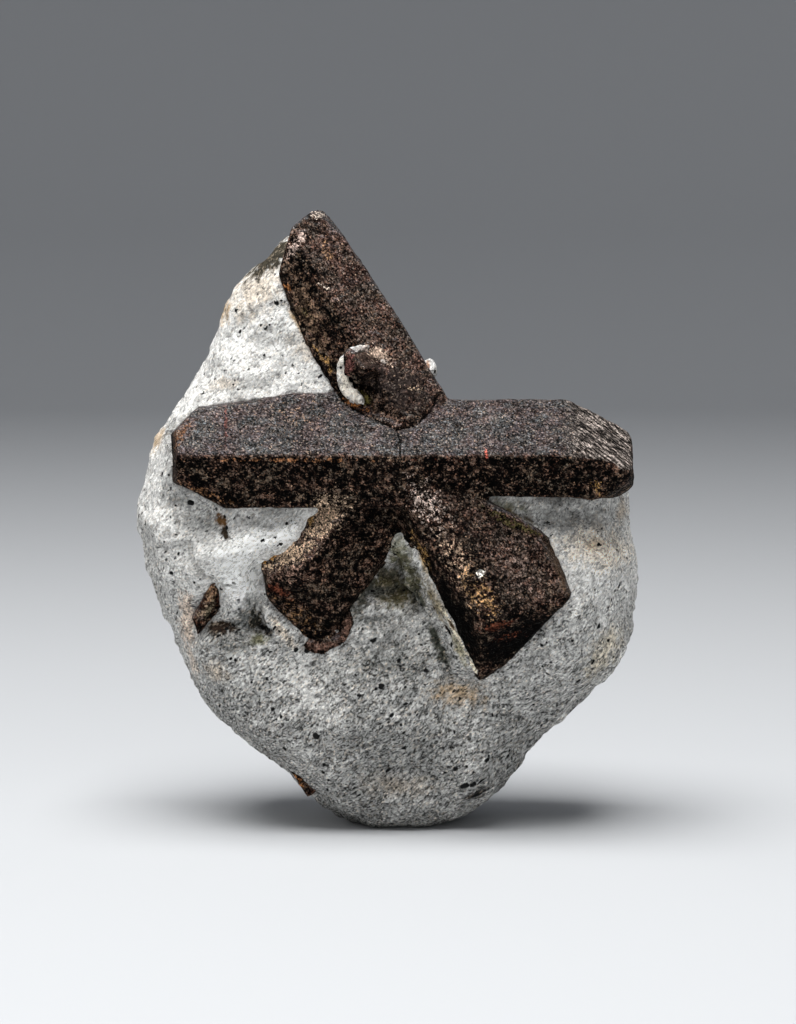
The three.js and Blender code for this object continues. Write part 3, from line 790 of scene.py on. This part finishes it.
SCHIST_STAINS_AND_PAINTED_LIGHT = [
    # what it is, from, to, half width, colour, strength
    ("bleached left flank", (-32, 40), (-20, 40), 6.5, WHITE, 0.9),
    # Painted light: the shelf below the bar is white stone, made whiter still as the light it catches
    # facing up.
    ("chalky shelf below bar", (-24, 42.6), (-12.5, 46.6), 2.8, (0.95, 0.95, 0.92), 1.4),
    # Painted light: the bulge by the hollow is white stone, made whiter still on its top, here and in
    # the white band two rows down, as the light it catches.
    ("chalky bulge by hollow", (-22, 41.8), (-20.6, 36.6), 3.8, (0.97, 0.97, 0.94), 1.5),
    ("bleached right flank", (28, 43), (33, 36), 5, WHITE, 0.9),
    # Painted light on the bulge's top.
    ("white band by hollow", (-20.8, 39), (-21.4, 33.6), 1.3, CHALK, 1.2),
    ("bleached stone by right arm's end", (25.5, 36), (25, 29), 2.5, WHITE, 0.6),
    ("grey belly", (-7, 27.5), (6, 25.5), 7, SHADE, 0.58),
    ("grey shoulder", (-31, 55), (-30, 50), 4.6, SHADE, 0.46),
    ("grey foot", (-8, 10), (10, 12), 7, SHADE, 0.22),
    # Painted shadow: the stone under the bar's right half is greyed as the shadow of the overhanging
    # bar.
    ("painted shadow under bar's right half", (16, 48.5), (35, 46.8), 3.2, SHADE, 0.45),
    ("grey left rim", (-36.5, 48), (-34.5, 40), 2.5, SHADE, 0.3),
    ("warm crown of horn", (-21, 79), (-17, 82.5), 5, IVORY, 0.6),
    ("dark crust on horn's edge", (-20.4, 81.6), (-12.8, 88.6), 1.8, (0.05, 0.043, 0.03), 1.7),
    ("rust on horn's left edge", (-24.3, 76), (-23.6, 78.5), 1.6, OCHRE, 0.8),
    ("ochre along upper arm", (-15.4, 79.5), (-9.5, 70.5), 0.8, OCHRE, 0.9),
    ("warm stone at arm's foot", (-12.5, 73), (-10, 71.5), 3, IVORY, 0.45),
    ("dark smudge on horn", (-18.2, 75.3), (-17.2, 75), 1.3, SHADE, 0.45),
    ("rust on left rim", (-35, 56.5), (-33.2, 59.5), 1.3, OCHRE, 0.8),
    ("grey patch by left rim", (-31.5, 61), (-32.5, 57.5), 1.6, GREY, 0.6),
    ("ochre over bar's left end", (-25.5, 66.5), (-22, 66.8), 1.4, IVORY, 0.5),
    # Painted shadow: the stone just below the bar is greyed as the bar's shadow.
    ("painted shadow below bar", (-19.5, 48.6), (-13.5, 49), 1.2, SHADE, 0.5),
    ("grey patch at left", (-32.5, 50.5), (-29.5, 49.5), 1.5, SHADE, 0.45),
    ("grey of left flank", (-31, 46.5), (-26.5, 46.5), 1.6, SHADE, 0.25),
    ("rusty grain left of arm", (-24.2, 47.9), (-23.7, 46.6), 1, (0.16, 0.08, 0.03), 1.8),
    ("dark lower part of that grain", (-23.6, 46.2), (-23, 44.9), 0.8, (0.03, 0.02, 0.012), 1.8),
    # Painted shade: the lower side of the bulge, turned from the lamp, is greyed.
    ("painted shade on side of bulge", (-20.4, 35), (-21, 31), 2.4, SHADE, 0.9),
    # Painted shade: the wall of the hollow is darkened as the shade in it.
    ("painted shade on wall of hollow", (-19.2, 34.2), (-18.9, 30.4), 1.4, (0.02, 0.02, 0.016), 1.5),
    ("green floor of hollow", (-20, 29.6), (-17.6, 29.6), 1.2, MOSS, 1.1),
    ("ivory stone against left arm", (-17.5, 33.6), (-13.6, 28.6), 1, (0.66, 0.58, 0.48), 1.1),
    ("dark flecks by hollow", (-18.6, 31.4), (-17, 30.6), 1, BLACK, 1.4),
    ("ivory band left of small crystal", (-29.4, 36.8), (-29.2, 28), 1.7, (0.66, 0.55, 0.46), 1.4),
    ("lower end of that band", (-29.2, 28), (-28.2, 23), 1.1, (0.64, 0.55, 0.47), 0.9),
    ("warm patch at lower left", (-25.6, 25.2), (-24.2, 24), 2, IVORY, 0.5),
    ("dark foot of small crystal", (-26, 31.4), (-22.6, 31.2), 1.4, (0.03, 0.018, 0.012), 1.8),
    ("grey below small crystal", (-27, 29), (-20, 29), 2.2, SHADE, 0.65),
    ("warm stone beside right arm", (27, 44), (34, 42), 4.2, (0.88, 0.79, 0.67), 1.1),
    # Partly painted shade: the valley has an olive tint of its own, and is darkened further as the
    # shade it lies in.
    ("olive valley", (-3, 38.6), (4.4, 35.4), 4.2, (0.118, 0.1, 0.05), 1.15),
    ("grey top of belly", (-5, 31.4), (3.6, 32), 2.4, SHADE, 0.4),
    ("shadow by step", (-7.4, 30.6), (-6.6, 33.6), 0.45, BLACK, 1),
    ("green neck of valley", (1.4, 44.6), (2.2, 41.2), 2, (0.36, 0.36, 0.27), 1),
    ("moss in neck", (0.2, 41.9), (2, 40.6), 0.7, MOSS, 0.9),
    ("shade at valley's left", (-1.6, 40), (-5.4, 32.4), 1.8, (0.07, 0.07, 0.055), 1),
    # Painted shade: the two furrows in the valley are darkened as the shade in them.
    ("first furrow in valley", (-4, 36), (2.6, 37), 1.2, SHADE, 0.75),
    ("second furrow", (-4.8, 32.4), (-0.6, 32.8), 0.9, SHADE, 0.7),
    # Painted shade in the upper valley.
    ("painted shade in upper valley", (-1, 39.6), (3, 39), 1.8, SHADE, 0.5),
    # Painted shade: the groove beside the lip is darkened, at its top and its lower end, as the shade
    # in it.
    ("painted shade at top of groove by lip", (3.2, 39.2), (5.2, 33.8), 1.3, (0.05, 0.053, 0.042), 1.2),
    ("painted shade lower in that groove", (5.2, 33.8), (9.2, 24.4), 1.1, (0.05, 0.053, 0.042), 1.1),
    ("olive neck of valley", (1.2, 43.4), (4.6, 37), 2, (0.1, 0.095, 0.055), 1),
    ("gold above lip", (3.9, 44.6), (6.2, 39.2), 0.7, (0.36, 0.24, 0.09), 0.9),
    ("warm flank of lip", (5.4, 39.8), (9, 31), 1.3, (0.27, 0.22, 0.13), 0.9),
    ("olive flank of lip", (9.2, 31.2), (11.6, 26), 1, (0.33, 0.3, 0.19), 0.9),
    ("cream crest of lip", (7.4, 35.4), (11.3, 28.4), 0.42, (0.8, 0.72, 0.56), 1.5),
    ("lower end of that crest", (11.3, 28.4), (13.3, 24.2), 0.4, (0.8, 0.72, 0.56), 1.5),
    ("brown gap in crest", (8.4, 33.4), (10, 31), 0.3, (0.06, 0.03, 0.01), 1.2),
    ("ochre under right arm's tip", (7.4, 21.8), (13.4, 21), 2.6, OCHRE, 0.75),
    ("black smear at foot", (11.2, 4.8), (14.8, 6.4), 1.1, BLACK, 1.3),
    # Partly painted shadow: the stone under the bar has an olive tint, darkened further as the bar's
    # shadow.
    ("moss under bar", (13, 50.4), (21, 48.8), 1.3, MOSS, 0.8),
    ("brown fringe above right arm", (14.6, 49.8), (22, 46.4), 0.8, (0.15, 0.105, 0.05), 0.9),
    ("shade under bar", (18, 50.2), (32, 50), 1.1, SHADE, 0.45),
    ("rust beside bar's right end", (29.2, 43.4), (31, 44), 1.2, OCHRE, 0.5),
    ("ochre at right rim", (34, 46.5), (35, 49), 1.3, IVORY, 0.6),
    ("tan bevel at lower right", (33.5, 30), (30, 24.5), 2.8, (0.6, 0.51, 0.36), 0.55),
    ("tan at foot", (-3, 7.5), (6, 7), 2.6, OCHRE, 0.22),
]


def schist_finish(name, whiteness, stains_and_painted_light):
    finish = Finish(name, Specular_IOR_Level=0.15)
    place = finish.place
    drawn_out = place.turned(42, (0.7, 1.0, 1.1))
    flakes = drawn_out.cells(0.26, "Color")
    grit = drawn_out.noise(0.56, 4, 0.85)
    clouds = place.noise(7.0, 3, 0.6)
    drift = drawn_out.noise(2.0, 3, 0.65)
    white = (whiteness(place) + (clouds - 0.5) * 0.9 + (drift - 0.5) * 1.2).rise(0.0, 1.0)
    colour = white.between(GREY, WHITE)
    ragged = place.noise(1.3, 4, 0.7) * 2.2 - 1.1
    colour = finish.stains_and_painted_light(colour, stains_and_painted_light, ragged)
    warmth = flakes.axis("Y").rise(0.75, 1.0) * 0.30
    colour = warmth.between(colour, IVORY)
    contrast = 1.25 - white * 0.80
    grains_show = (grit - 0.5) * contrast * 5.0 + (flakes.axis("X") - 0.5) * contrast * 1.5
    colour = colour * (grains_show + 1.05).most(0.12)

    soot = (flakes.axis("Z") * 0.6 + (grit - 0.5) * -1.6 + (drift - 0.5) * 0.6).rise(0.62, 0.80)
    speckled = (place + (place.noise(0.45, 1, 0.5, "Color") - 0.5) * 0.7).turned(35, (0.7, 1.0, 1.0))
    size = speckled.cells(1.6, "Color").axis("Y") ** 3.0 * 0.36
    fleck = (speckled.cells(1.6) * 1.6 - size).rise(0.05, -0.03)
    size = speckled.cells(0.8, "Color").axis("Y") ** 4.0 * 0.22
    fleck = fleck.most((speckled.cells(0.8) * 0.8 - size).rise(0.03, -0.02) * 0.9)
    colour = fleck.most(soot * 0.7).between(colour, BLACK)
    finish.set(Base_Color=colour, Roughness=0.92 - flakes.axis("Z").rise(0.6, 1.0) * 0.30)
    finish.bump(grit * 1.2 + flakes.axis("X") * 0.25 - fleck * 0.5, 0.35)
    return finish.material


def pebble_white_and_top_light(place):
    # Whiter upwards: partly the stone's own tone and partly painted light for the lamp above. The
    # chalk patch below the bar is white stone made whiter as painted light where the bar shades it.
    chalk = place.oval((-13.0, 46.5), (-24.0, 40.0), 8.0).rise(1.0, 0.3)
    return place.axis("Z").rise(4.0, 64.0) * 0.66 + chalk * 0.8 + 0.24


schist_stone.data.materials.append(schist_finish("schist", pebble_white_and_top_light, SCHIST_STAINS_AND_PAINTED_LIGHT))
SHRED_STAINS = [
    ("pink-tan crust over nub", (-4, 72.2), (-0.4, 70.6), 1.3, (0.56, 0.42, 0.34), 0.9),
    ("cream of crescent", (-6.4, 71), (-4.8, 64.6), 2.6, (0.8, 0.72, 0.6), 0.9),
    ("rust beside sliver", (5.8, 70.2), (6, 69), 0.6, RUST, 0.9),
]
shred_schist = schist_finish("schist_shreds", pebble_white_and_top_light, SHRED_STAINS)
for piece in (crescent, sliver):
    piece.data.materials.append(shred_schist)

grain_finish = Finish("dark_grain", Base_Color=(0.005, 0.005, 0.005, 1), Specular_IOR_Level=0.12)
grain_finish.set(Roughness=grain_finish.place.noise(0.3, 2) * 0.5 + 0.25)
grains.data.materials.append(grain_finish.material)
print("schist stains:", len(SCHIST_STAINS_AND_PAINTED_LIGHT))

# %% [markdown]
# ## The finish of the staurolite
#
# Staurolite is brown to black, and up close it is a mosaic of tiny grains, because the crystal
# took in quartz as it grew. Faces that look up are painted a fine grey-violet sheen, standing for
# the light of the lamp above caught by countless small facets. Faces that look down are painted
# almost black between tan mottles, as shade. So each face has a dark and a light tone, both set by
# how far it looks up, and the mosaic decides grain by grain which one shows. Pale glints painted
# on a few grains stand for sparkle. Rust gathers on the edges and in the angles.

# %% The finish of the staurolite
INK = (0.0008, 0.0006, 0.0005)
UMBER = (0.015, 0.0105, 0.0085)
# Painted sheen: the greyer tones used on faces that look up, the dark one here and the light one three
# lines down, stand for the lamp's light on small facets.
SLATE = (0.030, 0.0275, 0.0285)
DULL_TAN = (0.074, 0.053, 0.040)
BROWN = (0.112, 0.080, 0.066)
PAINTED_SHEEN = (0.094, 0.090, 0.092)
TAN = (0.40, 0.29, 0.20)
RED_BROWN = (0.085, 0.026, 0.014)
PALE = (0.44, 0.365, 0.30)
OLIVE = (0.085, 0.070, 0.022)
GOLD = (0.24, 0.14, 0.05)
STEP_BROWN = (0.115, 0.065, 0.048)

STAUROLITE_STAINS_AND_PAINTED_SHADE = [
    # what it is, from, to, half width, colour, strength
    ("rust along bar's edge", (-30, 56.5), (3, 56.4), 0.5, (0.24, 0.11, 0.05), 0.55),
    ("red end of that rust", (3, 56.5), (12, 56.4), 0.5, RED_BROWN, 0.5),
    ("rust round bar's left end", (-31, 58), (-28.5, 61.5), 1.3, (0.13, 0.065, 0.035), 0.7),
    ("dark cap of bar's left end", (-31.3, 57), (-31.2, 61), 0.9, INK, 0.8),
    ("rust at bar's lower left", (-30.5, 53.5), (-21, 49.6), 0.8, (0.17, 0.085, 0.04), 0.6),
    ("red streak across bar", (-23.3, 65), (-23, 58), 0.4, (0.11, 0.048, 0.04), 0.9),
    ("rusty flecks on bar", (-18, 63.6), (-8, 61), 2.6, (0.18, 0.11, 0.07), 0.3),
    ("rust at upper arm's left foot", (-7, 65.2), (-2, 62.6), 0.8, RUST, 0.75),
    ("red fleck at bar's edge", (14.2, 56.6), (14, 58.4), 0.35, (0.4, 0.1, 0.07), 0.9),
    ("gold flecks at bar's right end", (29.5, 53.6), (31, 51.2), 1.1, GOLD, 0.55),
    ("tan apex of upper arm", (-10.8, 91.4), (-9.4, 91), 0.8, PALE, 0.8),
    ("pink rub beside apex", (-14.6, 84.8), (-11.4, 89.2), 1.1, (0.44, 0.33, 0.28), 0.9),
    ("ochre patch below apex", (-9, 87), (-8.4, 84.4), 1.1, (0.24, 0.14, 0.075), 0.55),
    ("rust on upper arm's left edge", (-15.2, 81.4), (-13.6, 80.2), 0.8, RUST, 0.9),
    ("gold patch on upper arm", (-12.4, 79.2), (-10.8, 78), 0.8, GOLD, 0.7),
    ("olive on upper arm", (-13.2, 78.6), (-10.5, 75.6), 1.1, OLIVE, 0.8),
    # Painted shade: the upper arm's left face, turned down from the lamp, is darkened.
    ("painted shade on upper arm's left face", (-13.8, 82), (-8.6, 72), 2.6, UMBER, 0.25),
    ("brown clumps on that face", (-14.2, 84), (-9, 70.5), 3.4, (0.125, 0.08, 0.052), 0.68),
    ("pale rub on upper arm", (-9.8, 81.6), (-8.4, 80.4), 0.6, PALE, 0.6),
    ("rust by horn", (-12, 74.5), (-7.2, 67.4), 0.6, GOLD, 0.6),
    ("gold beside crescent", (-8.8, 71), (-8, 68), 0.7, GOLD, 0.7),
    ("dark top of nub", (-4.4, 71), (-1.2, 70.2), 1.8, (0.04, 0.026, 0.02), 1.6),
    ("red-brown left side of nub", (-5.2, 71.4), (-5.8, 67.7), 1, (0.105, 0.045, 0.038), 1.3),
    ("black shadow under nub", (-5, 66.9), (-2, 66.9), 0.5, (0, 0, 0), 1.6),
    ("olive beside crescent's foot", (-4, 65.8), (-2.4, 64.2), 0.9, OLIVE, 1.2),
    ("dark foot of upper arm", (-1.4, 68.6), (5.4, 64.6), 5, (0.022, 0.016, 0.014), 0.9),
    ("tan crust beside nub", (-2.6, 72.3), (0.1, 70.2), 1.5, (0.38, 0.28, 0.215), 1),
    ("tan band on upper arm's foot", (1.5, 67), (6, 65.8), 0.7, TAN, 0.4),
    # Partly painted light: the left arm's upper face has tan mottles, made lighter tan here and on the
    # next row as the light it catches from above.
    ("tan upper face of left arm", (-6.6, 51), (-11.8, 44.6), 3.2, TAN, 0.85),
    ("tan upper face further down", (-16.8, 41.2), (-11.5, 43.8), 2.6, TAN, 0.85),
    ("pink rub lower on that face", (-15.5, 38.8), (-12, 41), 1.8, (0.26, 0.16, 0.12), 0.5),
    ("gold edge where left arm starts", (-11.2, 49), (-11.2, 46.2), 0.9, GOLD, 0.9),
    ("gold edge further down", (-18.2, 42), (-12.5, 45.2), 0.9, GOLD, 0.9),
    ("gold corner of left arm", (-18.2, 42), (-16.6, 42.2), 1.3, (0.4, 0.2, 0.05), 1.2),
    ("rust on left arm's end", (-17, 37), (-9, 30), 2.4, (0.19, 0.105, 0.05), 0.4),
    ("red tip of left arm", (-17.3, 37.8), (-14, 36.4), 1.2, RED_BROWN, 0.9),
    ("brown step at its end", (-12.4, 28.4), (-6.6, 28.8), 0.9, STEP_BROWN, 1.4),
    ("right side of that step", (-6.2, 29.4), (-5.4, 33.4), 0.7, STEP_BROWN, 1.3),
    ("shadow above step", (-10.9, 30), (-7.2, 31), 0.4, INK, 1.4),
    ("shadow beside step", (-6.9, 31), (-6.5, 33.8), 0.35, INK, 1.4),
    ("pale mottles of right arm", (3.6, 53.5), (8.6, 45.6), 3.2, (0.44, 0.35, 0.3), 0.56),
    ("tan mottles of right arm", (8, 46.6), (13.5, 35.5), 3.2, (0.38, 0.27, 0.19), 0.5),
    ("ochre mottles of right arm", (10.5, 41), (15.8, 33.5), 2.8, (0.34, 0.2, 0.09), 0.5),
    ("white fleck on right arm", (12.9, 39.6), (13.6, 40.6), 0.6, (0.8, 0.76, 0.68), 1.4),
    ("rusty front edge of its end", (13.6, 31.8), (19, 33.4), 1.2, RED_BROWN, 0.8),
    ("brown face of right arm", (16, 45.5), (20.5, 38), 5.5, (0.15, 0.108, 0.09), 0.4),
    # Painted shade: the end of the right arm faces down, away from the lamp, and is painted near
    # black.
    ("painted shade on right arm's end", (14.5, 28), (23.8, 32.4), 3.8, INK, 1.6),
    ("rust on its end", (14.5, 30.5), (20, 31), 1.2, RED_BROWN, 0.4),
    ("gold left edge of right arm", (3.4, 46.4), (7, 38.6), 1, GOLD, 0.65),
    # Painted shade: the right arm's left side faces down and left, away from the lamp, and is painted
    # near black.
    ("painted shade on right arm's left side", (6.4, 40.4), (13.9, 25.6), 2, INK, 1.8),
    ("brown right edge of right arm", (22.6, 45.2), (26.2, 36.6), 1, (0.07, 0.045, 0.03), 1.2),
    ("olive upper edge of right arm", (14, 49.2), (22.4, 45.2), 1, (0.055, 0.045, 0.018), 0.8),
]


def staurolite_finish(name, stains_and_painted_light, rusty):
    finish = Finish(name, Specular_IOR_Level=0.03)
    place = finish.place
    looks_up = finish.facing.axis("Z").rise(-0.30, 0.80)
    half_up, all_up = looks_up.rise(0.0, 0.6), looks_up.rise(0.6, 1.0)
    grain = place.cells(0.20, "Color")
    any_grain, its_hue = grain.axis("X"), grain.axis("Y")
    mottle = place.noise(0.80, 3, 0.75, "Color")
    clumps = mottle.axis("X")
    blobs = place.noise(0.95, 2, 0.7)
    patches = place.noise(5.0, 3, 0.6)
    drift = place.noise(2.6, 3, 0.6).rise(0.38, 0.62)
    # Painted light and shade: both tones go from near black on faces that look down, as painted shade,
    # to grey on faces that look up, as painted sheen.
    dark = all_up.between(half_up.between(INK, UMBER), SLATE)
    light = all_up.between(half_up.between(DULL_TAN, BROWN), PAINTED_SHEEN)
    dark = (its_hue.rise(0.55, 0.9) * rusty).between(dark, RED_BROWN)
    tone = any_grain * 0.9 + (clumps - 0.5) * (2.0 - half_up * 0.6) + (patches - 0.5) * 0.7
    tone = tone + (blobs - 0.5) * (1.0 - half_up) * 3.4
    tone = (tone + place.noise(0.15, 1) * 0.5 + half_up * 0.08 - 0.28).most(0.0).least(1.25)
    # Painted light: faces that look up show more grains in the light tone.
    colour = (tone ** (3.0 - looks_up * 1.8)).between(dark, light)
    colour = colour * its_hue.between((0.88, 1.0, 1.10), (1.15, 0.97, 0.84))
    colour = colour * drift.between((0.96, 1.0, 0.96), (1.12, 0.96, 0.92))
    striped_end = (place.axis("X") + clumps * 6.0).rise(27.5, 31.0) * looks_up.rise(0.30, 0.55)
    streaks = place.turned(-38, (0.24, 0.8, 2.4)).noise(0.55, 3, 0.8).rise(0.43, 0.58)
    striped = streaks.between((0.008, 0.006, 0.005), (0.40, 0.34, 0.30))
    colour = (striped_end * 0.9).between(colour, striped)
    ragged = place.noise(1.0, 4, 0.75) * 2.4 - 1.2
    blots = grain.axis("Z") * 0.4 + mottle.axis("Y").rise(0.38, 0.62) * 0.6
    colour = finish.stains_and_painted_light(colour, stains_and_painted_light, ragged, blots)
    colour = colour * (tone * 1.6 + 0.20) * (1.7 - grain.axis("Z") * 1.4)
    # Painted glint: pale specks on a few grains, stronger on faces that look up, stand for sparkle.
    painted_glint = its_hue.rise(0.965, 0.985) * (looks_up * 0.45 + 0.05)
    colour = painted_glint.between(colour, PALE)
    for _, line, half_width, _ in CRACKS:
        for a, b in zip(line[:-1], line[1:]):
            crack = (place.oval(a, b, half_width) + any_grain * 0.5).rise(1.3, 0.8)
            colour = (crack * 0.95).between(colour, INK)
    finish.set(Base_Color=colour, Roughness=0.75 - its_hue.rise(0.6, 1.0) * 0.35)
    finish.bump(any_grain * 0.45 + clumps * 0.7 + streaks * striped_end * 1.2, 0.40)
    return finish.material


staurolite_twin.data.materials.append(staurolite_finish("staurolite", STAUROLITE_STAINS_AND_PAINTED_SHADE, 0.05))
SMALL_STAINS = [
    ("rust on small crystal", (-26.4, 34.5), (-25.2, 37.5), 1.2, (0.24, 0.145, 0.085), 0.8),
    ("olive middle of small crystal", (-26.9, 32.6), (-25.6, 35), 1.2, (0.13, 0.105, 0.07), 0.8),
    ("tan streak of small crystal", (-27.4, 32.6), (-26, 35.6), 0.8, (0.26, 0.19, 0.13), 0.8),
    ("dark foot of small crystal", (-27.4, 32.4), (-27.4, 30), 1, INK, 0.8),
    ("rust at edge", (-14, 8.5), (-12.5, 6.5), 1.2, RUST, 0.6),
]
small_staurolite = staurolite_finish("small_staurolite", SMALL_STAINS, 0.4)
for piece in (small_left, small_edge):
    piece.data.materials.append(small_staurolite)
print("staurolite stains:", len(STAUROLITE_STAINS_AND_PAINTED_SHADE))

# %% [markdown]
# ## What stands for what
#
# Nothing here moves on its own, so every piece rides on the one body. Each piece that was
# rebuilt takes the place of its solid, and the dark grains ride on the same body. The last
# lines note the size of the solids and of the finished look, which must agree.

# %% What stands for what
STANDS_FOR = {
    schist_stone: ("schist_stone", "schist"),
    staurolite_twin: ("staurolite_twin", "staurolite"),
    small_left: ("staurolite_small_left", "staurolite"),
    small_edge: ("staurolite_small_edge", "staurolite"),
    crescent: ("schist_crescent", "schist"),
    sliver: ("schist_sliver", "schist"),
}
for piece, (node, slot) in STANDS_FOR.items():
    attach(piece, "root")
    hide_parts(node)
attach(grains, "root")

look_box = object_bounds()
for label, (low, high) in {"solids": cad_box, "look": look_box}.items():
    print(label, [round((b - a) / MM, 1) for a, b in zip(low, high)], "mm")
